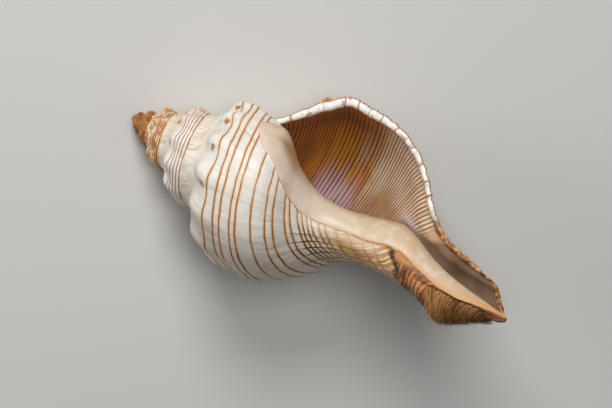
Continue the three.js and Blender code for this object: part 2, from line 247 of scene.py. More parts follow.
# The net of faces.
COLUMNS_PER_TURN = 200
SEAM_ROWS = 26
BODY_ROWS = 76
CANAL_ROWS = 104
CANAL_START = 0.85
CORNER_GAP = 0.006
RIB_SAMPLES = 6
CANAL_WALL_ROWS = 40
HOLLOW_COLUMNS = 44
HOLLOW_CROWDING = 1.7
RIM_RINGS = 5
RIM_ROUNDING = 0.3
SLOPE_STEP = 0.002


def size(turn):
    return GROWTH ** np.asarray(turn, float)


def from_pole(points):
    return np.array(points, float) + [POLE, 0]


def ease(x):
    t = np.clip(x, 0, 1)
    return t * t * (3 - 2 * t)


def between(x, start, end):
    return ease((x - start) / (end - start))


def bell(x, reach):
    return np.exp(-((x / reach) ** 2))


def unit(ways):
    return ways / np.maximum(np.linalg.norm(ways, axis=-1, keepdims=True), 1e-9)


def read_off(pairs, x):
    """The value at x on the line through (place, value) pairs."""
    places, values = np.array(pairs).T
    return np.interp(x, places, values)


def smooth_curve(knots, values, x):
    """A smooth curve through values at knots, evaluated at x. values has a row for each knot, or, where the
    curve differs from place to place, first an axis for the places of x and then a row for each knot."""
    x = np.asarray(x, float)
    values = np.asarray(values, float)
    own = values.ndim == 3
    table = np.moveaxis(values, 1, 0) if own else values
    spans = np.diff(knots)
    wide = spans.reshape((-1,) + (1,) * (table.ndim - 1))
    chords = np.diff(table, axis=0) / wide
    share = wide[1:] / (wide[:-1] + wide[1:])
    slopes = np.concatenate([chords[:1], chords[:-1] * share + chords[1:] * (1 - share), chords[-1:]])
    i = np.clip(np.searchsorted(knots, x, side="right") - 1, 0, len(spans) - 1)
    t = ((x - knots[i]) / spans[i])[..., None]
    span = spans[i][..., None]
    places = np.arange(x.size)

    def at(array, index):
        return array[index, places] if own else array[index].reshape(x.shape + (-1,))

    end = t * t * (3 - 2 * t)
    leaving = t * (1 - t) ** 2 * span
    arriving = t * t * (t - 1) * span
    return (at(table, i) * (1 - end) + at(table, i + 1) * end
            + at(slopes, i) * leaving + at(slopes, i + 1) * arriving)


def value_noise(points, seed):
    """Smooth noise from -1 to 1 with one bump to a unit of length."""
    base = np.floor(points).astype(np.int64)
    share = points - base
    share = share * share * (3 - 2 * share)
    total = np.zeros(len(points))
    for corner in np.ndindex(*(2,) * points.shape[1]):
        cell = base + corner
        mixed = cell @ np.array([374761393, 668265263, 1274126177][: points.shape[1]]) + seed * 2147483647
        mixed = (mixed ^ (mixed >> 13)) * 1274126177 & 0xFFFFFFFF
        mixed = (mixed ^ (mixed >> 16)) & 0xFFFF
        weight = np.prod(np.where(np.array(corner) == 1, share, 1 - share), axis=1)
        total += weight * (mixed / 32767.5 - 1)
    return total


LIP_OUTLINE = from_pole(LIP)
QUARTER_OUTLINES = [
    np.vstack([LIP_OUTLINE[:6] * size(-1), from_pole(MOUTH_EDGE)]),
    np.vstack([LIP_OUTLINE[:8] * size(-0.75), from_pole(FRONT)]),
    np.vstack([LIP_OUTLINE[:7] * size(-0.5), from_pole(OUTER_SIDE)]),
    np.vstack([LIP_OUTLINE[:8] * size(-0.25), from_pole(BACK)]),
    LIP_OUTLINE,
]
OUTLINES = np.array([o.ravel() / size(t) for o, t in zip(QUARTER_OUTLINES, QUARTERS)])
STATIONS = np.concatenate([[0], np.cumsum(np.hypot(*np.diff(LIP_OUTLINE, axis=0).T))])
OUTLINE_LENGTH = STATIONS[-1]
STATIONS /= OUTLINE_LENGTH


def outline(turn, first=-1):
    flat = smooth_curve(QUARTERS, OUTLINES, np.clip(turn, first, 0))
    return flat.reshape(len(turn), -1, 2)


def swell(turn, row):
    start, end = SPIRE_SWELL_TURNS
    return 1 + SPIRE_SWELL * ease((start - turn - row / STATIONS[SEAM_STATION]) / (start - end))


def flare(turn, row):
    start, stop, end = STATIONS[list(FLARE_STATIONS)]
    near_lip = np.clip((turn + FLARE_TURN) / FLARE_TURN, 0, 1) ** 2
    return 1 + FLARE * near_lip * ease(row / start) * (1 - between(row, stop, end))


def knob_count(turn):
    return (turn * KNOBS_FEWER + KNOBS_PER_TURN) * turn + KNOB_OFFSET


def lamella_count(turn, row):
    return row * LAMELLAE + turn * LAMELLA_SLANT


def knob_height(turn, row):
    count = knob_count(turn)
    nearest = np.round(count)
    unevenness = 1 + KNOB_UNEVENNESS * np.sin(nearest * KNOB_UNEVEN_STEP + KNOB_UNEVEN_START)
    across = np.abs(np.cos(np.pi * (count - nearest))) ** KNOB_SHARPNESS
    x = row - STATIONS[KNOB_STATION]
    fold = bell(x, KNOB_REACH_DOWN) * (1 - KNOB_FOLD) + bell(x, KNOB_FOLD_REACH) * KNOB_FOLD
    along = np.where(x < 0, bell(x, KNOB_REACH_UP), fold)
    scale = np.where(turn > -1, size(turn), size(-1) * size(turn + 1) ** KNOB_SPIRE_GROWTH)
    return KNOB_HEIGHT * scale * unevenness * across * along


def growth_turn(turn, row):
    """The turn at which the lip passed a place: it lags behind towards the canal."""
    return turn + read_off(GROWTH_BEND, row)


def plateau(x, rise_start, rise_end, fall_start, fall_end):
    return between(x, rise_start, rise_end) * (1 - between(x, fall_start, fall_end))


def band_mask(turn, row):
    """1 on the rough band of old canal ends that winds round the neck of the shell."""
    inside = between(row - read_off(BAND_EDGE, turn), *BAND_BLEND)
    return inside * (1 - between(turn, *BAND_ENDS)) * (turn > -1)


def fringe_mask(turn, row):
    return plateau(row, *FRINGE_ROWS) * plateau(turn, *FRINGE_TURNS)


def line_row(turn, row):
    """The row that a place would have if the lines kept to their rows. They climb a little as they wind."""
    first, level, last = LINE_DRIFT_TURNS
    return row - LINE_DRIFT * (np.clip(turn, first, last) - level) * (1 - between(row, *LINE_DRIFT_ROWS))


def cords(turn, row):
    """Round cords between the brown lines, which lie in the grooves."""
    lines = np.array(LINE_ROWS)
    phase = np.interp(line_row(turn, row), lines, np.arange(len(lines)))
    return np.abs(np.sin(np.pi * phase)) ** CORD_ROUNDNESS


def grain(turn, row, along, across, seed):
    return value_noise(np.stack([turn * along, row * across], -1), seed)


def glaze_mask(turn, row):
    """1 on the glaze, 0 beyond its edge."""
    within_edge = 1 - between(turn - read_off(GLAZE_EDGE, row), *GLAZE_EDGE_BLEND)
    within_edge = within_edge * between(row - read_off(GLAZE_TOP, turn), *GLAZE_TOP_BLEND)
    return between(turn, *GLAZE_START) * within_edge * on_last_turn(turn, row)


def on_last_turn(turn, row):
    return (turn > -1) * (row > LAST_TURN_ROW)


def cord_height(turn, row):
    height = CORD_HEIGHT + (NECK_CORD_HEIGHT - CORD_HEIGHT) * plateau(row, *NECK_CORD_ROWS)
    height = height + LIP_CORD_HEIGHT * between(turn, *LIP_CORD_TURNS) * plateau(row, *LIP_CORD_ROWS)
    return height * size(turn) * cords(turn, row) * between(row, *CORD_ROWS)


def fine_relief(turn, row):
    """How far the fine relief stands out of the coil, in millimetres."""
    scale = size(turn)
    lip_passed = growth_turn(turn, row)
    glazed = glaze_mask(turn, row)
    band = band_mask(turn, row) * (1 - glazed)
    bare = (1 - glazed) * (1 - band)
    relief = cord_height(turn, row) * bare
    relief += GLAZE_HEIGHT * glazed
    relief += FOLD_HEIGHT * scale * grain(lip_passed, row, *FOLD_GRAIN) * bare
    relief += GRAIN_HEIGHT * scale * grain(lip_passed, row, *FINE_GRAIN) * bare
    neck = plateau(row, *NECK_FOLD_ROWS)
    relief += NECK_FOLD_HEIGHT * grain(lip_passed, row, *NECK_FOLD_GRAIN) * neck * bare
    teeth = np.abs(np.sin(np.pi * lamella_count(turn, row)))
    relief += LAMELLA_HEIGHT * band * (LAMELLA_LEVEL - teeth)
    groove = bell(row - read_off(BAND_EDGE, turn) + GROOVE_REACH, GROOVE_REACH)
    groove = groove * (1 - between(turn, *BAND_ENDS)) * on_last_turn(turn, row)
    relief -= GROOVE_DEPTH * groove * (1 - glazed)
    relief -= FRINGE_RECESS * fringe_mask(turn, row) * (1 - glazed)
    worn = grain(turn, row, *WORN_GRAIN) + 0.6 * grain(turn, row, *WORN_FINE_GRAIN)
    return relief + WORN_DEPTH * scale * between(turn, *WORN_TURNS) * worn


def outer_face(turn, row, lift=0.0):
    """Places on the outer face, as (distance from the pole, radius), for lists of turns and rows."""
    stations = outline(turn)
    place = smooth_curve(STATIONS, stations, row)
    along = row_slope(stations, row)
    proud = knob_height(turn, row) + fine_relief(turn, row) + lift
    a = place[:, 0] * size(turn) - proud * along[:, 1]
    r = place[:, 1] * size(turn) * swell(turn, row) * flare(turn, row) + proud * along[:, 0]
    return np.stack([a, r], -1)


def row_slope(stations, row):
    """The direction of growing rows, with a length of 1."""
    ahead = smooth_curve(STATIONS, stations, np.minimum(row + SLOPE_STEP, 1))
    behind = smooth_curve(STATIONS, stations, np.maximum(row - SLOPE_STEP, 0))
    return unit(ahead - behind)


FLOOR_TABLE = from_pole(FLOOR_LINE) / size(FLOOR_TURNS)[:, None]


def floor_point(turn):
    turn = np.clip(turn, None, CANAL_LIP_TURN)
    return smooth_curve(FLOOR_TURNS, FLOOR_TABLE, np.clip(turn, -1, 0)) * size(turn)[:, None]


def corner_point(turn):
    return from_pole([CORNER]) * size(turn)[:, None]


def inner_stations(turn):
    """The wall's inner face: the outline moved in by the wall's thickness, and led to the floor line."""
    stations = outline(turn, -0.75) * size(turn)[:, None, None]
    along = unit(np.gradient(stations, axis=1))
    thickness = WALL * size(turn) ** WALL_GROWTH
    share = np.array([CANAL_THINNING.get(i, 1) for i in range(len(STATIONS))])
    near_edge = ease((turn + LIP_EDGE_TURN) / LIP_EDGE_TURN)[:, None]
    share = share * (1 + (np.array(LIP_EDGE_SHARES) - 1) * near_edge)
    depth = thickness[:, None] * share
    inside = stations + np.stack([along[..., 1], -along[..., 0]], -1) * depth[..., None]
    inside[..., 1] *= flare(turn[:, None], STATIONS[None, :])
    inside[:, 0] = corner_point(turn)
    floor = floor_point(turn)
    opening = between(turn, *FLOOR_OPENS)[:, None, None]
    x = np.linspace(0, 1, len(STATIONS) - FLOOR_STATION + 1)[1:, None]
    closed = inside[:, FLOOR_STATION - 1, None] * (1 - x) + floor[:, None] * x
    inside[:, FLOOR_STATION:] = closed * (1 - opening) + inside[:, FLOOR_STATION:] * opening
    inside[:, -1] = floor
    return inside


def pillar_tables():
    edge_top = QUARTER_OUTLINES[0][7:12]
    tables = []
    for i, turn in enumerate(QUARTERS):
        low = from_pole(PILLAR_LOW[i]) if i < len(PILLAR_LOW) else QUARTER_OUTLINES[0][12:]
        table = np.vstack([corner_point(np.array([turn])), edge_top * size(turn), low])
        tables.append(table.ravel() / size(turn))
    return np.array(tables)


PILLAR_TABLES = pillar_tables()
PILLAR_KNOTS = STATIONS[6:]


def pillar_stations(turn):
    flat = smooth_curve(QUARTERS, PILLAR_TABLES, np.clip(turn, -1, 0)) * size(turn)[:, None]
    stations = flat.reshape(len(turn), -1, 2)
    stations[:, -1] = floor_point(turn)
    return stations


def lip_turn(row):
    """At the end of the canal the lip stays behind the turn 0."""
    canal = STATIONS[CANAL_LIP_STATION]
    return CANAL_LIP_TURN * between(row, canal, 1)


def placed(place, turn):
    """Places on the coil in the lying shell's frame, in metres. What would reach below the ground is worn
    away."""
    angle = 2 * math.pi * turn - math.radians(LOWEST_SIDE)
    lean = math.radians(LEAN)
    down = place[..., 1] * np.cos(angle)
    x = math.cos(lean) * place[..., 0] + math.sin(lean) * down - MIDDLE[0]
    y = place[..., 1] * np.sin(angle) - MIDDLE[1]
    z = math.sin(lean) * place[..., 0] - math.cos(lean) * down + GROUND
    return np.stack([x, y, np.maximum(z, 0)], -1) / 1000


def lip_wave(row):
    """The lip's edge is a little uneven, by this many turns."""
    waves = grain(row, row, *LIP_WAVE_GRAIN) + 0.6 * grain(row, row, *LIP_FINE_GRAIN)
    return LIP_WAVE * waves * plateau(row, *LIP_WAVE_ROWS)


def lip_turns(nominal, rows, bend):
    """The turns of a net's points, so that its last column follows the lip's edge."""
    return nominal + lip_turn(rows) * bend + lip_wave(rows) * between(nominal, *LIP_WAVE_TURNS)


# What a place has where a fact doesn't matter: distances in millimetres from an edge, and turns inward.
FAR_OUTSIDE = -50.0
WELL_INSIDE = 60.0
DEEP_IN = 9.0


class Net:
    """Points with the facts that the materials need, and the faces between them."""

    FACTS = ("turn", "row", "glaze", "inward", "margin", "trough")

    def __init__(self):
        self.points = []
        self.facts = []
        self.count = 0
        self.faces = []
        self.skins = []

    def add(self, points, turn, row, glaze=FAR_OUTSIDE, inward=DEEP_IN, margin=FAR_OUTSIDE, trough=-1.0):
        """Adds a grid of points and gives their numbers, in the grid's shape."""
        shape = points.shape[:-1]
        self.points.append(points.reshape(-1, 3))
        facts = [np.broadcast_to(f, shape).ravel() for f in (turn, row, glaze, inward, margin, trough)]
        self.facts.append(np.stack(facts, -1))
        numbers = self.count + np.arange(len(self.points[-1])).reshape(shape)
        self.count += numbers.size
        return numbers

    def add_face(self, corners, skin):
        corners = list(dict.fromkeys(int(c) for c in corners))
        if len(corners) > 2:
            self.faces.append(corners)
            self.skins.append(skin)

    def join(self, grid, skin):
        """Joins a grid of points, whose columns are its first axis."""
        quads = np.stack([grid[:-1, :-1], grid[1:, :-1], grid[1:, 1:], grid[:-1, 1:]], -1)
        for quad in quads.reshape(-1, 4).tolist():
            self.add_face(quad, skin)

    def fan(self, loop, centre, skin):
        for a, b in zip(loop, np.roll(loop, -1)):
            self.add_face([b, a, centre], skin)

    def zip(self, left, left_rows, right, right_rows, skin):
        """Joins two columns whose points lie at different rows."""
        i = j = 0
        while i < len(left) - 1 or j < len(right) - 1:
            on_left = j == len(right) - 1 or (i < len(left) - 1 and left_rows[i + 1] <= right_rows[j + 1])
            if on_left:
                self.add_face([left[i], right[j], left[i + 1]], skin)
                i += 1
            else:
                self.add_face([left[i], right[j], right[j + 1]], skin)
                j += 1


OUTSIDE, LINING = range(2)


def on_outside(turns, rows):
    """Places on the outer face for grids of turns and rows, and how far they lie from the axis."""
    turns, rows = np.broadcast_arrays(turns, rows)
    place = outer_face(turns.ravel(), rows.ravel())
    return placed(place, turns.ravel()).reshape(turns.shape + (3,)), place[:, 1].reshape(turns.shape)


def glaze_distance(turn, row, radius):
    """How far inside the glaze's edge a place lies, in millimetres."""
    sideways = (read_off(GLAZE_EDGE, row) - turn) * 2 * math.pi * radius
    downwards = (row - read_off(GLAZE_TOP, turn)) * OUTLINE_LENGTH * size(turn)
    return np.minimum(sideways, downwards)


def add_spire(net, rows):
    columns = round((-FIRST_TURN - 1) * COLUMNS_PER_TURN)
    turns = (np.arange(columns + 1) / COLUMNS_PER_TURN + FIRST_TURN)[:, None]
    points, _ = on_outside(turns, rows)
    seam, _ = on_outside(turns + 1, np.zeros((1, 1)))
    points[:, -1] = seam[:, 0]
    grid = net.add(points, turns, rows)
    net.join(grid, OUTSIDE)
    apex = net.add(placed(np.array([[POLE, 0]]), np.array([FIRST_TURN])), FIRST_TURN, 0.0)[0]
    net.fan(np.concatenate([grid[:COLUMNS_PER_TURN, 0], grid[0, 1:][::-1]]), apex, OUTSIDE)


def add_last_turn(net, rows):
    nominal = (np.arange(COLUMNS_PER_TURN + 1) / COLUMNS_PER_TURN - 1)[:, None]
    turns = lip_turns(nominal, rows, between(nominal, -CANAL_BEND_TURN, 0))
    points, radius = on_outside(turns, rows)
    points[:, -1] = points[0, -1]
    grid = net.add(points, turns, rows, glaze=glaze_distance(turns, rows, radius))
    net.join(grid, OUTSIDE)
    return grid, points


def add_lining(net, rows, corner, canal_end):
    share = np.linspace(1, 0, HOLLOW_COLUMNS + 1)[:, None] ** HOLLOW_CROWDING
    nominal = HOLLOW_TURN * share
    turns = lip_turns(nominal, rows, between(1 - share, CANAL_BEND_START, 1))
    turn, row, inward = [v.ravel() for v in np.broadcast_arrays(turns, rows, -nominal)]
    stations = inner_stations(turn)
    place = smooth_curve(STATIONS, stations, row)
    along = row_slope(stations, row)
    ribs = 0.5 + 0.5 * np.cos(2 * math.pi * read_off(RIB_COUNT, row))
    ribs = ribs * plateau(row, *RIB_ROWS) * between(inward, *RIB_START)
    place = place + np.stack([along[:, 1], -along[:, 0]], -1) * (RIB_HEIGHT * ribs)[:, None]
    margin = read_off(MARGIN, row) - inward * 2 * math.pi * np.maximum(place[:, 1], LEAST_RADIUS)
    trough = row - read_off(TROUGH_EDGE, inward)
    points = placed(place, turn).reshape(turns.shape + (3,))
    points[-1, 0] = corner
    points[-1, -1] = canal_end
    margin, trough = margin.reshape(turns.shape), trough.reshape(turns.shape)
    grid = net.add(points, turns, rows, inward=-nominal, margin=margin, trough=trough)
    net.join(grid[::-1], LINING)
    return grid, points, nominal


def add_pillar(net, nominal, edge, rows, lining, lining_points):
    """The pillar's face runs on into the hollow from the edge where the last turn begins."""
    share = (rows - rows[0]) / (1 - rows[0])
    knots = PILLAR_KNOTS[0] + share * (1 - PILLAR_KNOTS[0])
    turns, knots = np.broadcast_arrays(nominal[:-1], knots)
    place = smooth_curve(PILLAR_KNOTS, pillar_stations(turns.ravel()), knots.ravel())
    points = placed(place, turns.ravel()).reshape(turns.shape + (3,))
    points[:, 0] = lining_points[:-1, 0]
    points[:, -1] = lining_points[:-1, -1]
    grid = net.add(points, turns - 1, rows, glaze=WELL_INSIDE)
    net.join(np.vstack([grid, edge[None, :]]), OUTSIDE)
    deep = net.add(points[:1].mean(axis=1), HOLLOW_TURN, 0.5)[0]
    net.fan(np.concatenate([lining[0], grid[0, 1:-1][::-1]]), deep, LINING)


def add_rim(net, rows, whorl, whorl_points, lining, lining_rows, lining_points, corner_index):
    outer_lip = whorl_points[-1]
    inner_lip = np.stack([np.interp(rows, lining_rows, lining_points[-1, :, c]) for c in range(3)], -1)
    turns = lip_turn(rows) + lip_wave(rows)
    onward = (placed(np.array([0, 1.0]), turns + 0.25) - placed(np.array([0, 0.0]), turns)) * 1000
    across = np.linspace(0, 1, RIM_RINGS + 2)[1:-1, None, None]
    bulge = np.sqrt(4 * across * (1 - across)) * RIM_ROUNDING
    thickness = np.linalg.norm(inner_lip - outer_lip, axis=-1, keepdims=True)
    rings = outer_lip * (1 - across) + inner_lip * across + onward * thickness * bulge
    rings[:, 0] = whorl_points[0, corner_index - RIM_RINGS: corner_index]
    rings[:, -1] = outer_lip[-1]
    margin = read_off(MARGIN, rows) + (1 - across[..., 0]) * RIM_MARGIN
    trough = rows - read_off(TROUGH_EDGE, 0.0)
    grid = net.add(rings, turns, rows, inward=0.0, margin=margin, trough=trough)
    net.join(np.vstack([whorl[-1:], grid]), LINING)
    net.zip(grid[-1], rows, lining[-1], lining_rows, LINING)


def build_shell():
    net = Net()
    seam_row = STATIONS[SEAM_STATION]
    corner_row = STATIONS[SEAM_STATION + 1] - CORNER_GAP
    upper = np.linspace(0, seam_row, SEAM_ROWS + 1)
    corner = np.linspace(seam_row, corner_row, RIM_RINGS + 2)[1:-1]
    lower = np.concatenate([
        np.linspace(corner_row, CANAL_START, BODY_ROWS, endpoint=False),
        np.linspace(CANAL_START, 1, CANAL_ROWS),
    ])
    rows = np.concatenate([upper, corner, lower])
    corner_index = len(upper) + len(corner)
    add_spire(net, upper)
    whorl, whorl_points = add_last_turn(net, rows)
    rib_rows, counts = np.array(RIB_COUNT).T
    ribbed = np.interp(np.arange(0, counts[-1], 1 / RIB_SAMPLES), counts, rib_rows)
    lining_rows = np.concatenate([ribbed, np.linspace(RIB_ROWS[-1], 1, CANAL_WALL_ROWS)])
    lining, lining_points, nominal = add_lining(
        net, lining_rows, whorl_points[0, corner_index], whorl_points[0, -1])
    add_pillar(net, nominal, whorl[0, corner_index:], lower, lining, lining_points)
    add_rim(net, rows, whorl, whorl_points, lining, lining_rows, lining_points, corner_index)
    return net


def add_object(name, data):
    thing = bpy.data.objects.new(name, data)
    bpy.context.scene.collection.objects.link(thing)
    return thing


def mesh_object(name, points, faces):
    mesh = bpy.data.meshes.new(name)
    mesh.from_pydata(points.tolist(), [], faces)
    mesh.shade_smooth()
    mesh.update()
    return add_object(name, mesh)


def colour(code):
    """A linear colour from a hex code."""
    parts = [int(code[i: i + 2], 16) / 255 for i in (0, 2, 4)]
    return tuple(p / 12.92 if p <= 0.04045 else ((p + 0.055) / 1.055) ** 2.4 for p in parts) + (1,)


class Field:
    """A number that differs from place to place on a surface, with the usual arithmetic."""

    def __init__(self, paint, socket):
        self.paint = paint
        self.socket = socket

    def __add__(self, other):
        return self.paint.math("ADD", self, other)

    def __sub__(self, other):
        return self.paint.math("SUBTRACT", self, other)

    def __rsub__(self, other):
        return self.paint.math("SUBTRACT", other, self)

    def __mul__(self, other):
        return self.paint.math("MULTIPLY", self, other)

    def __pow__(self, power):
        return self.paint.math("POWER", self, power)

    def __abs__(self):
        return self.paint.math("ABSOLUTE", self)

    def ramp(self, start, end, low=0.0, high=1.0):
        """Goes smoothly from low at one value to high at another."""
        values = (self, start, end, low, high)
        node = self.paint.node("MapRange", *values, interpolation_type="SMOOTHSTEP")
        return Field(self.paint, node.outputs[0])

    def near(self, middle, reach):
        """1 where the number is the middle one, falling to 0 at the reach."""
        return abs(self - middle).ramp(0, reach, 1, 0)

    def plateau(self, start, full, fall, end):
        return self.ramp(start, full) * self.ramp(end, fall)


class Paint:
    """A material, the colour that its surface has so far, and the nodes that make it."""

    def __init__(self, name, roughness, coat=0.0):
        self.material = bpy.data.materials.new(name)
        self.material.use_nodes = True
        self.tree = self.material.node_tree
        self.shader = self.tree.nodes["Principled BSDF"]
        self.shader.inputs["Roughness"].default_value = roughness
        self.shader.inputs["Coat Weight"].default_value = coat
        self.shader.inputs["Coat Roughness"].default_value = COAT_ROUGHNESS
        self.base = WHITE

    def node(self, kind, *values, **settings):
        """A new node with these settings, and these values in its first sockets."""
        node = self.tree.nodes.new("ShaderNode" + kind)
        for name, setting in settings.items():
            setattr(node, name, setting)
        for socket, value in zip(node.inputs, values):
            self.put(socket, value)
        return node

    def put(self, socket, value):
        if isinstance(value, Field):
            value = value.socket
        if isinstance(value, bpy.types.NodeSocket):
            self.tree.links.new(value, socket)
        else:
            socket.default_value = colour(value) if isinstance(value, str) else value

    def facts(self, *names):
        """Numbers that the mesh holds for each of its points."""
        nodes = [self.node("Attribute", attribute_name=name) for name in names]
        return [Field(self, node.outputs["Fac"]) for node in nodes]

    def place(self):
        return self.node("TexCoord").outputs["Object"]

    def math(self, operation, *values):
        return Field(self, self.node("Math", *values, operation=operation).outputs[0])

    def mix(self, share, a, b):
        node = self.node("Mix", data_type="RGBA")
        self.put(node.inputs["Factor"], share)
        self.put(node.inputs[6], a)
        self.put(node.inputs[7], b)
        return node.outputs[2]

    def cover(self, share, tint):
        """Lays a colour over a share of the surface."""
        self.base = self.mix(share, self.base, tint)

    def layers(self, ground, *above):
        """A ground with (share, colour) layers on it, the last on top."""
        for share, tint in above:
            ground = self.mix(share, ground, tint)
        return ground

    def noise(self, place, detail, scale=1.0):
        """Clouds from 0 to 1. Up to three fields can take the place of a position."""
        if isinstance(place, tuple):
            place = self.node("CombineXYZ", *place).outputs[0]
        node = self.node("TexNoise", place)
        node.inputs["Scale"].default_value = scale
        node.inputs["Detail"].default_value = detail
        return Field(self, node.outputs["Fac"])

    def finish(self, bump, distance):
        self.put(self.shader.inputs["Base Color"], self.base)
        node = self.node("Bump")
        node.inputs["Distance"].default_value = distance
        self.put(node.inputs["Height"], bump)
        self.put(self.shader.inputs["Normal"], node.outputs[0])
        return self.material


COAT_ROUGHNESS = 0.12
WHITE = "efebe4"
LINE_BROWN = "b06a10"
DARK_BROWN = "552c0b"


def nearest_line(paint, row, rows):
    """How far the nearest of the given rows is."""
    nearest = 1.0
    for line in rows:
        nearest = paint.math("MINIMUM", nearest, abs(row - line))
    return nearest


def soft_line(distance, half_width):
    return distance.ramp(half_width * 0.5, half_width * 1.3, 1.0, 0.0)


def most(field, *others):
    for other in others:
        field = field.paint.math("MAXIMUM", field, other)
    return field


def add_body_colour(paint, turn, row, growth, wrinkles):
    """White with faint grey-brown clouds and wrinkles along the lines of growth, with painted shade in thin
    creases and underneath.
    """
    paint.cover(wrinkles.ramp(0.48, 0.75, 0, 0.3), "c9b296")
    clouds = paint.noise((growth * 13, row * 3, 2), 3)
    # Painted shade: underneath, the clouds grow denser and a tan wash darkens the side away from the light.
    underside_shade = turn.ramp(-0.66, -0.5, 0.28, 0.6)
    paint.cover(clouds.ramp(0.48, 0.75) * underside_shade, "b39c82")
    paint.cover(turn.ramp(-0.7, -0.5, 0, 0.4), "b3946c")
    threads = paint.noise((turn * 9, row * 240, 3), 1)
    paint.cover(threads.ramp(0.5, 0.75, 0, 0.2), "c2a888")
    # Painted shade: thin grey-brown lines in creases along the lines of growth.
    crease_shade = paint.noise((growth * 30, row * 2.2, 7), 1)
    paint.cover(crease_shade.near(0.5, 0.02) * clouds.ramp(0.4, 0.6, 0, 0.3), "a18d76")


def add_ramp_colour(paint, turn, row, slow):
    """The ramp below each seam is cream with pale crescents."""
    bent = turn * 66 + row ** 2 * 700
    crescent = paint.noise((bent, row * 9), 2)
    ground = paint.mix(crescent.ramp(0.42, 0.6), "f0e9de", "d9bd94")
    share = row.ramp(0.04, 0.075, 1, 0) * slow.ramp(0.35, 0.6, 0.45, 0.9)
    paint.cover(share, ground)
    older = turn.ramp(-1.5, -2.2, 0, 0.75) * slow.ramp(0.4, 0.6, 0.4, 1)
    paint.cover(older * row.ramp(0.16, 0.1), "d8b58a")


def add_spots(paint, turn, row, fine):
    """A brown smudge stands beside each knob."""
    count = knob_count(turn) - SPOT_BESIDE_KNOB
    beside = paint.math("PINGPONG", count, 0.5)
    shift = paint.noise((paint.math("ROUND", count) * 3.7, 0.5), 0)
    spot_row = turn.ramp(-1.8, -0.9, 0.115, 0.165) + (shift - 0.5) * 0.07
    across = (beside * 10) ** 2
    along = ((row - spot_row) * 62) ** 2
    away = across + along + (fine - 0.5) * 5
    smudge = away.ramp(0.1, 1.5, shift.ramp(0.3, 0.6, 1.0, 0.9), 0)
    paint.cover(smudge, "ae6a10")


def add_lines(paint, turn, row, line, glaze, broad, wave):
    """Fine brown lines wind round the last turn: they darken on its far side and on the neck."""
    distance = nearest_line(paint, line + wave, LINE_ROWS)
    on_last_turn = turn.ramp(-1.06, -0.98)
    paint.cover(distance.ramp(0.003, 0.011, 0.6, 0) * on_last_turn, "e2ac60")
    dark = most(row.ramp(0.54, 0.7, 0, 0.9), turn.ramp(-0.68, -0.54))
    line_colour = paint.mix(dark * glaze.ramp(-1.5, -7), LINE_BROWN, DARK_BROWN)
    lines = soft_line(distance, broad.ramp(0.3, 0.6, 0.0021, 0.003))
    on_neck = row.plateau(*NECK_ROWS)
    thick = soft_line(distance, 0.0046) * (on_neck * turn.ramp(-0.72, -0.66))
    lines = most(lines, thick) * on_last_turn
    paint.cover(lines * broad.ramp(0.25, 0.5, 0.8, 1.0), line_colour)
    return lines, on_neck


def add_spire_lines(paint, turn, row, broad, wave):
    """The older turns have fewer lines, and faint ones on their ramp."""
    distance = nearest_line(paint, row + wave, SPIRE_ROWS)
    width = turn.ramp(-2.2, -1.9, 0.0052, 0.0034)
    lines = (distance - width).ramp(-0.002, 0.0012, 1, 0)
    lines = lines * turn.ramp(-1.0, -1.08) * broad.ramp(0.3, 0.55, 0.65, 1.0)
    paint.cover(lines, LINE_BROWN)
    faint = soft_line(nearest_line(paint, row + wave, FAINT_ROWS), 0.0022)
    paint.cover(faint * broad.ramp(0.35, 0.6, 0.05, 0.5), "bd9464")
    return lines


def add_neck_folds(paint, row, lines, on_neck, folds):
    """The neck's folds are ochre and cross the lines."""
    fold_colour = paint.layers(
        "f0d8ac", (folds.ramp(0.36, 0.5), "cf8a36"), (folds.ramp(0.5, 0.6), "87490f"))
    paint.cover(row.ramp(0.7, 0.765) * lines.ramp(0, 1, 0.9, 0.25), fold_colour)
    paint.cover(row.ramp(0.64, 0.74, 0, 0.4) * (on_neck * folds.ramp(0.35, 0.5)), "e2b878")


def add_net(paint, row, growth, glaze, on_neck, folds):
    """Brown lines of growth make a net with the lines that wind round the neck."""
    distance = nearest_line(paint, growth + (folds - 0.5) * 0.016, NET_TURNS)
    patchy = on_neck * folds.ramp(0.3, 0.5, 0.35, 1)
    paint.cover(distance.ramp(0.004, 0.014, 0.5, 0) * (patchy * row.ramp(0.62, 0.7)), "d39c56")
    net_colour = paint.mix(glaze.ramp(-7, -1.5), "5f300e", "c27c30")
    paint.cover(soft_line(distance, 0.0042) * patchy * 0.9, net_colour)


def add_band_colour(paint, turn, row, band, beside, slow, middle):
    """Rust, orange, grey and dark brown lamellae, with painted shade between them and towards the underside,
    and painted shade in the groove beside them.
    """
    along = lamella_count(turn, row)
    teeth = paint.math("PINGPONG", along, 0.5)
    tint = paint.noise((along * 0.41, turn * 7, 5), 2)
    ground = paint.layers(
        "c9823c",
        (tint.ramp(0.46, 0.56), "8c4c1a"),
        (tint.ramp(0.36, 0.43, 0.85, 0), "8b8078"),
        (tint.ramp(0.6, 0.66), "4a2a14"),
        # Painted shade: darker towards the underside, and dark between the lamellae.
        (turn.ramp(-0.66, -0.5, 0, 0.5), "5b3417"),
        (teeth.ramp(0.2, 0.42, 0, 0.8), "4d2a10"),
        (middle.ramp(0.55, 0.75, 0, 0.4), "3b2210"),
        (turn.ramp(-0.72, -0.78) * slow.ramp(0.35, 0.6, 0.4, 0.9), "cf9355"),
    )
    paint.cover(band, ground)
    # Painted shade in the groove beside the band.
    groove_shade = beside.near(-0.003, 0.013) * turn.ramp(-0.42, -0.55)
    paint.cover(groove_shade * middle.ramp(0.3, 0.5, 0.7, 1), "3d2210")


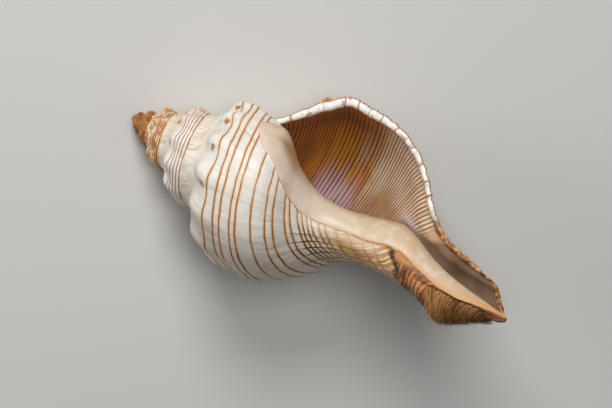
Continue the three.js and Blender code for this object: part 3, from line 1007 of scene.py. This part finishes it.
def add_glaze_colour(paint, turn, row, glaze, slow, middle):
    """The glaze round the mouth is pale peach, with a thin brown edge beyond the body's middle, and painted
    shade where it turns into the mouth.
    """
    wavy = glaze + (slow - 0.5)
    milky = wavy.ramp(-4.5, -0.5, 0, 0.45) * row.plateau(0.56, 0.64, 0.82, 0.85)
    paint.cover(milky, "f2ead9")
    to_end = row.ramp(0.86, 0.93) * wavy.ramp(3.2, 0.4)
    # Painted shade: soft brown where the glaze turns in towards the mouth.
    inner_edge_shade = row.ramp(0.66, 0.44, 0.15, 0.8) * wavy.ramp(5.5, 11)
    # Ochre on the pillar inside the mouth: partly the lining's own colour, partly painted shade.
    inside = turn.ramp(-1.0, -1.12) * row.ramp(0.78, 0.7)
    in_trough = turn.ramp(-1.004, -1.02) * row.ramp(0.7, 0.78)
    # An orange edge where the glaze turns into the mouth: partly the shell's colour, partly painted shade.
    orange_edge_and_shade = turn.near(-1.004, 0.014) * row.ramp(0.62, 0.72, 0.45, 1)
    ground = paint.layers(
        "e2cbb4",
        (row.ramp(0.42, 0.6), "dccab6"),
        (row.ramp(0.66, 0.85), "d4ba9a"),
        (slow.ramp(0.45, 0.75, 0, 0.5), "cfa680"),
        (middle.ramp(0.4, 0.75, 0, 0.4), "ece2d4"),
        (to_end * 0.85, "d39a58"),
        (inner_edge_shade, "b0743c"),
        (inside, "b8701c"),
        (in_trough, "7d6658"),
        (orange_edge_and_shade * 0.7, "c57f3c"),
    )
    paint.cover(wavy.ramp(-0.15, 0.15), ground)
    where = most(row.ramp(0.46, 0.58, 0.15, 0.9), turn.ramp(-0.88, -0.92, 0, 1))
    paint.cover(wavy.near(0.0, 0.6) * where * middle.ramp(0.4, 0.58, 0.2, 1), "bd7a3a")


def add_mottle(paint, turn, row, slow):
    """The third whorl is orange with whitish beads, and fades into the white one after it."""
    edge = turn + (slow - 0.5) * 0.9
    beads = paint.noise((turn * 26, row * 20, 6), 2)
    mottle = paint.mix(beads.ramp(0.44, 0.58), "cb8030", "f0e0c4")
    paint.cover(edge.ramp(-1.8, -2.2, 0, 0.9), mottle)


def add_worn_tip(paint, turn, slow, fine):
    """The oldest turns are worn down to orange-brown."""
    edge = turn + ((slow - 0.5) * 0.5 + (fine - 0.5) * 1.6)
    tip = paint.mix(fine.ramp(0.35, 0.65), "bf8140", "945619")
    paint.cover(edge.ramp(-3.0, -3.5), tip)


def outside_material():
    paint = Paint("shell_outside", 0.4, 0.06)
    turn, row, line, growth, glaze, band, beside = paint.facts(
        "turn", "row", "line", "growth", "glaze", "band", "beside")
    place = paint.place()
    slow = paint.noise(place, 2, 90)
    middle = paint.noise(place, 2, 330)
    fine = paint.noise(place, 3, 700)
    # Growth lines run down the outline, so their noise is stretched along the rows.
    wrinkles = paint.noise((growth * 90, row * 5), 4)
    broad = paint.noise((growth * 22, row * 3), 2)
    folds = paint.noise((growth * 62, row * 14, 4), 3)
    wave = (paint.noise((turn * 34, row * 16), 3) - 0.5) * 0.009
    add_body_colour(paint, turn, row, growth, wrinkles)
    add_ramp_colour(paint, turn, row, slow)
    add_mottle(paint, turn, row, slow)
    lines, on_neck = add_lines(paint, turn, row, line, glaze, broad, wave)
    lines = most(lines, add_spire_lines(paint, turn, row, broad, wave))
    add_spots(paint, turn, row, fine)
    add_worn_tip(paint, turn, slow, fine)
    add_neck_folds(paint, row, lines, on_neck, folds)
    add_net(paint, row, growth, glaze, on_neck, folds)
    add_band_colour(paint, turn, row, band, beside, slow, middle)
    add_glaze_colour(paint, turn, row, glaze, slow, middle)
    on_glaze = glaze.ramp(-0.2, 0.2)
    paint.put(paint.shader.inputs["Roughness"], on_glaze.ramp(0, 1, 0.44, 0.4))
    bump = wrinkles + fine * 0.4 + lines * -0.45
    return paint.finish(bump * on_glaze.ramp(0, 1, 1.0, 0.12), 0.0003)


# The patches of colour and painted shade inside the mouth: how far in, in turns, the row, their reaches,
# colour and strength.
PATCHES = [
    (0.125, 0.22, 0.05, 0.1, "d08a20", 0.9),
    # Darker ochre at the top, deep in: partly the lining's colour, partly painted shade.
    (0.14, 0.12, 0.04, 0.04, "87500f", 0.7),
    # Painted shade: a dark band under the lip at the top.
    (0.043, 0.2, 0.018, 0.11, "7a4310", 0.75),
    (0.1, 0.315, 0.045, 0.022, "b59a78", 0.6),
    (0.142, 0.4, 0.045, 0.03, "dccba6", 0.9),
    (0.185, 0.43, 0.025, 0.04, "b08468", 0.85),
]
MAUVE_INWARD = (0.133, 0.198)
MAUVE_ROWS = (0.18, 0.24, 0.33, 0.4)


def add_patches(paint, inward, row, slow, streaks):
    for inward_middle, row_middle, inward_reach, row_reach, code, strength in PATCHES:
        across = ((inward - inward_middle) * (1 / inward_reach)) ** 2
        along = ((row - row_middle) * (1 / row_reach)) ** 2
        away = across + along + (slow - 0.5) * 3
        paint.cover(away.ramp(-0.3, 2.2, strength, 0), code)
    wavy = inward + (streaks - 0.5) * 0.11
    mauve = row.plateau(*MAUVE_ROWS) * wavy.ramp(*MAUVE_INWARD)
    paint.cover(mauve * 0.9, "c3aab2")


def add_lining_ground(paint, inward, row, slow, streaks):
    """The lining is brown deep inside and paler near the lip, with patches, some of them painted shade, and
    long streaks.
    """
    deep = paint.mix(row.ramp(0.35, 0.43), "b9731c", "c79a6e")
    paint.base = paint.mix(inward.ramp(0.04, 0.14), "dcb68e", deep)
    paint.cover(row.ramp(0.4, 0.33), "b86d17")
    add_patches(paint, inward, row, slow, streaks)
    paint.cover(streaks.ramp(0.45, 0.7, 0, 0.4), "8a4f16")


def add_ribs(paint, inward, row, count):
    """The ribs have a pale painted highlight on their crests and are brown between, the more so towards the
    canal.
    """
    to_canal = row.ramp(0.3, 0.42) * inward.ramp(0.17, 0.1)
    rib = paint.math("PINGPONG", count, 0.5)
    ribbed = row.plateau(0.02, 0.05, 0.65, 0.69)
    each = paint.noise((count * 0.8, inward * 10, 3), 1)
    # Painted highlight: pale on the ribs' crests, strongest towards the canal.
    crest_highlight = rib.ramp(0.26, 0.1) * to_canal.ramp(0, 1, 0.08, 1)
    crest_highlight = crest_highlight * each.ramp(0.3, 0.6, 0.5, 1)
    paint.cover(crest_highlight * ribbed, "fbf3e6")
    start = to_canal.ramp(0, 1, 0.32, 0.31) + (0.5 - each) * 0.3
    brown = (rib - start).ramp(0, 0.13) * ribbed
    brown = brown * each.ramp(0.3, 0.55, 0.55, 0.95)
    paint.cover(brown, paint.mix(to_canal, "5e2f08", "b46c28"))
    return brown


def add_trough(paint, inward, trough, slow):
    """The canal's trough is grey-brown, with a pearly edge where it meets the ribs."""
    trough_colour = paint.mix(slow.ramp(0.3, 0.7), "785a43", "9c7f69")
    paint.cover(trough.ramp(-0.014, 0.014), trough_colour)
    pearly = trough.near(-0.004, 0.04) * inward.near(0.1, 0.04)
    paint.cover(pearly * 0.8, "dccfc8")


def add_margin(paint, row, margin, brown, place, middle):
    """The lip's white margin has brown ticks where the outside's lines reach it, and a broken inner edge."""
    spread = paint.noise((row * 52, 3.0), 1)
    ticks = soft_line(nearest_line(paint, row + (middle - 0.5) * 0.012, TICK_ROWS), 0.003)
    ticks = ticks * spread.ramp(0.3, 0.55, 0.2, 1)
    edge = margin + (middle - 0.5) * 1.8
    inner_line = edge.near(0.3, 0.55) * spread.ramp(0.35, 0.55, 0.3, 1)
    stripes = brown * (row.ramp(0.47, 0.57) * margin.ramp(1.6, 0.6))
    dots = paint.noise(place, 1, 520).ramp(0.6, 0.66) * row.ramp(0.55, 0.45)
    marks = most(ticks, dots * 0.8, inner_line, stripes)
    paint.cover(edge.ramp(0.0, 0.4), paint.mix(marks * 0.85, "f6f2ea", "b2681f"))


def add_canal_edge(paint, inward, row, place):
    """The canal's own edge is mottled with brown and orange."""
    speckle = paint.noise(place, 2, 620)
    mottle = paint.layers(
        "cfab7c", (speckle.ramp(0.34, 0.46), "a0662c"), (speckle.ramp(0.5, 0.6), "54300f"))
    on_edge = inward.ramp(0.009, 0.003) * row.ramp(0.6, 0.68)
    paint.cover(on_edge, mottle)
    return on_edge


def lining_material():
    paint = Paint("mouth_lining", 0.4, 0.1)
    row, inward, margin, trough, count = paint.facts("row", "inward", "margin", "trough", "rib")
    place = paint.place()
    slow = paint.noise(place, 2, 110)
    middle = paint.noise(place, 2, 330)
    streaks = paint.noise((inward * 8, count * 0.45), 2)
    add_lining_ground(paint, inward, row, slow, streaks)
    brown = add_ribs(paint, inward, row, count)
    add_trough(paint, inward, trough, slow)
    add_margin(paint, row, margin, brown, place, middle)
    on_edge = add_canal_edge(paint, inward, row, place)
    bump = paint.noise(place, 2, 500) + middle * (on_edge * 1.5)
    return paint.finish(bump, 0.0001)


def set_fact(mesh, name, values):
    attribute = mesh.attributes.new(name, "FLOAT", "POINT")
    attribute.data.foreach_set("value", np.asarray(values, np.float32))


def shell_piece():
    net = build_shell()
    piece = mesh_object("shell_surface", np.concatenate(net.points), net.faces)
    mesh = piece.data
    facts = dict(zip(net.FACTS, np.concatenate(net.facts).T))
    turn, row = facts["turn"], facts["row"]
    facts["growth"] = growth_turn(turn, row)
    facts["line"] = line_row(turn, row)
    facts["rib"] = read_off(RIB_COUNT, row)
    facts["band"] = band_mask(turn, row)
    facts["beside"] = np.where(turn > -1, row - read_off(BAND_EDGE, turn), -1)
    for name, values in facts.items():
        set_fact(mesh, name, values)
    for material in (outside_material(), lining_material()):
        mesh.materials.append(material)
    mesh.polygons.foreach_set("material_index", net.skins)
    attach(piece, "root")
    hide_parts("shell")


def hair_material():
    paint = Paint("fringe_hair", 0.6)
    shade = paint.facts("shade")[0]
    paint.base = paint.layers("d29c5e", (shade.ramp(0, 0.5), "8a5826"), (shade.ramp(0.5, 1), "3c2817"))
    return paint.finish(shade, 0.00001)


def hair_lines():
    """The hairs' middle lines, radii and shades. They lie like combed fur over the end of the rough band, in
    tufts that draw together, and a few stray ones stand up."""
    random = np.random.default_rng(HAIR_SEED)
    first, last = HAIR_ROOT_ROWS
    root_row = random.uniform(first, last, HAIRS)
    along_fringe = (root_row - first) / (last - first)
    tuft = np.minimum(along_fringe * TUFTS, TUFTS - 1).astype(int)
    root_turn = random.uniform(*HAIR_ROOT_TURNS, HAIRS)
    length = random.uniform(*HAIR_TURNS, HAIRS)
    gather = (tuft + 0.5) / TUFTS - along_fringe
    gather = gather * (last - first) * HAIR_GATHER
    drift = HAIR_DRIFT + random.normal(0, HAIR_DRIFT_SPREAD, HAIRS)
    curl = random.normal(0, HAIR_CURL, HAIRS)
    rise = random.uniform(*HAIR_LIFT, HAIRS) + random.uniform(*TUFT_LIFT, TUFTS)[tuft]
    stray = random.uniform(0, 1, HAIRS) < STRAY_SHARE
    rise = np.where(stray, rise * STRAY_LIFT, rise)
    thickness = random.uniform(*HAIR_THICKNESS, HAIRS) * np.where(stray, STRAY_THICKNESS, 1)
    shade = random.uniform(*TUFT_SHADES, TUFTS)[tuft] + random.normal(*HAIR_SHADES, HAIRS)
    shade = np.clip(shade + END_SHADE * along_fringe, 0, 1)
    share = np.linspace(0, 1, HAIR_JOINTS)[None, :]
    turn = root_turn[:, None] + length[:, None] * share
    wave = curl[:, None] * np.sin(3.5 * share)
    row = root_row[:, None] + (drift * length + gather)[:, None] * share + wave
    row = np.clip(row, 0, LAST_HAIR_ROW)
    lift = HAIR_ROOT_LIFT + rise[:, None] * share ** 1.4
    lines = placed(outer_face(turn.ravel(), row.ravel(), lift.ravel()), turn.ravel())
    radius = thickness[:, None] / 2000 * (1.02 - share) ** 0.6
    return lines.reshape(HAIRS, HAIR_JOINTS, 3), radius, shade


def tubes(lines, radius):
    """The points and faces of three-sided tubes along lines, closed at their tips."""
    ahead = unit(np.gradient(lines, axis=1))
    side = unit(np.cross(ahead, [0, 0, 1.0]))
    other = np.cross(ahead, side)
    corners = []
    for k in range(3):
        angle = 2 * math.pi * k / 3
        corners.append(lines + radius[..., None] * (math.cos(angle) * side + math.sin(angle) * other))
    points = np.stack(corners, 2)
    numbers = np.arange(points.size // 3).reshape(points.shape[:-1])
    faces = []
    for k in range(3):
        near, far = numbers[..., k], numbers[..., (k + 1) % 3]
        quads = np.stack([near[:, :-1], far[:, :-1], far[:, 1:], near[:, 1:]], -1)
        faces += quads.reshape(-1, 4).tolist()
    faces += numbers[:, -1, :].tolist()
    return points, faces


def fringe_piece():
    lines, radius, shade = hair_lines()
    points, faces = tubes(lines, radius)
    piece = mesh_object("canal_fringe", points.reshape(-1, 3), faces)
    set_fact(piece.data, "shade", np.broadcast_to(shade[:, None, None], points.shape[:-1]).ravel())
    piece.data.materials.append(hair_material())
    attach(piece, "root")


FLOOR_REACH = 2
FLOOR_COLOUR = (0.7, 0.69, 0.67, 1)


def floor():
    corners = [(-1, -1, 0), (1, -1, 0), (1, 1, 0), (-1, 1, 0)]
    piece = mesh_object("floor", np.array(corners, float) * FLOOR_REACH, [[0, 1, 2, 3]])
    paint = Paint("floor_grey", 0.9)
    paint.shader.inputs["Base Color"].default_value = FLOOR_COLOUR
    piece.data.materials.append(paint.material)


# The camera's view, from the photo: the tilt of the shell's axis in the picture, and how far the axis
# leans out of the picture's plane. The shell is 140 mm and 440 pixels long.
AXIS_TILT = 28.5
AXIS_RISE = 18
MM_PER_PIXEL = 140 / 440
PICTURE = (612, 408)
APEX_PIXEL = (132, 117)
CAMERA_DISTANCE = 1.35
SENSOR = 36

# The lights: their places to the right of, above and before the picture's middle, in metres, and their
# width, power and tint.
WARM = (1, 0.99, 0.97)
LIGHTS = {
    "key": ((-0.1, 0.55, 0.75), 0.35, 4.8, WARM),
    "side": ((-0.75, 0.2, 0.5), 0.35, 1.4, WARM),
    "front": ((0.15, 0.1, 1.1), 0.5, 3.8, (1, 1, 1)),
}
ROOM_LIGHT = 0.09


def picture_frame():
    """The picture's right and up, and the way towards the viewer, in the lying shell's frame."""
    def way(a, r, turn):
        ahead = placed(np.array([a + 50.0, r]), turn) - placed(np.array([50.0, 0.0]), turn)
        return Vector(ahead).normalized()

    axis, up_side, near_side = way(1, 0, 0.0), way(0, 1, 0.0), way(0, 1, 0.25)
    rise = math.radians(AXIS_RISE)
    tilt = math.radians(AXIS_TILT)
    viewer = math.sin(rise) * axis + math.cos(rise) * near_side
    along = math.cos(rise) * axis - math.sin(rise) * near_side
    right = math.cos(tilt) * along + math.sin(tilt) * up_side
    up = -math.sin(tilt) * along + math.cos(tilt) * up_side
    return right, up, viewer


def picture_middle(right, up):
    apex = Vector(placed(np.array([POLE, 0.0]), 0.0))
    x = (PICTURE[0] / 2 - APEX_PIXEL[0]) * MM_PER_PIXEL / 1000
    y = (PICTURE[1] / 2 - APEX_PIXEL[1]) * MM_PER_PIXEL / 1000
    return apex + x * right - y * up


def add_camera(right, up, viewer, middle):
    camera = bpy.data.cameras.new("camera")
    camera.sensor_width = SENSOR
    camera.lens = SENSOR * CAMERA_DISTANCE / (PICTURE[0] * MM_PER_PIXEL / 1000)
    body = add_object("camera", camera)
    matrix = Matrix((right, up, viewer)).transposed().to_4x4()
    matrix.translation = middle + viewer * CAMERA_DISTANCE
    body.matrix_world = matrix
    bpy.context.scene.camera = body


def add_lights(right, up, viewer, middle):
    for name, (place, width, power, tint) in LIGHTS.items():
        lamp = bpy.data.lights.new(name, "AREA")
        lamp.size = width
        lamp.energy = power
        lamp.color = tint
        holder = add_object(name, lamp)
        holder.location = middle + right * place[0] + up * place[1] + viewer * place[2]
        holder.rotation_euler = (holder.location - middle).to_track_quat("Z", "Y").to_euler()
    world = bpy.data.worlds.new("room")
    world.use_nodes = True
    background = world.node_tree.nodes["Background"]
    background.inputs["Color"].default_value = (1, 1, 1, 1)
    background.inputs["Strength"].default_value = ROOM_LIGHT
    bpy.context.scene.world = world


shell_piece()
fringe_piece()
floor()
right, up, viewer = picture_frame()
middle = picture_middle(right, up)
add_camera(right, up, viewer, middle)
add_lights(right, up, viewer, middle)
bpy.context.scene.view_settings.view_transform = "Standard"
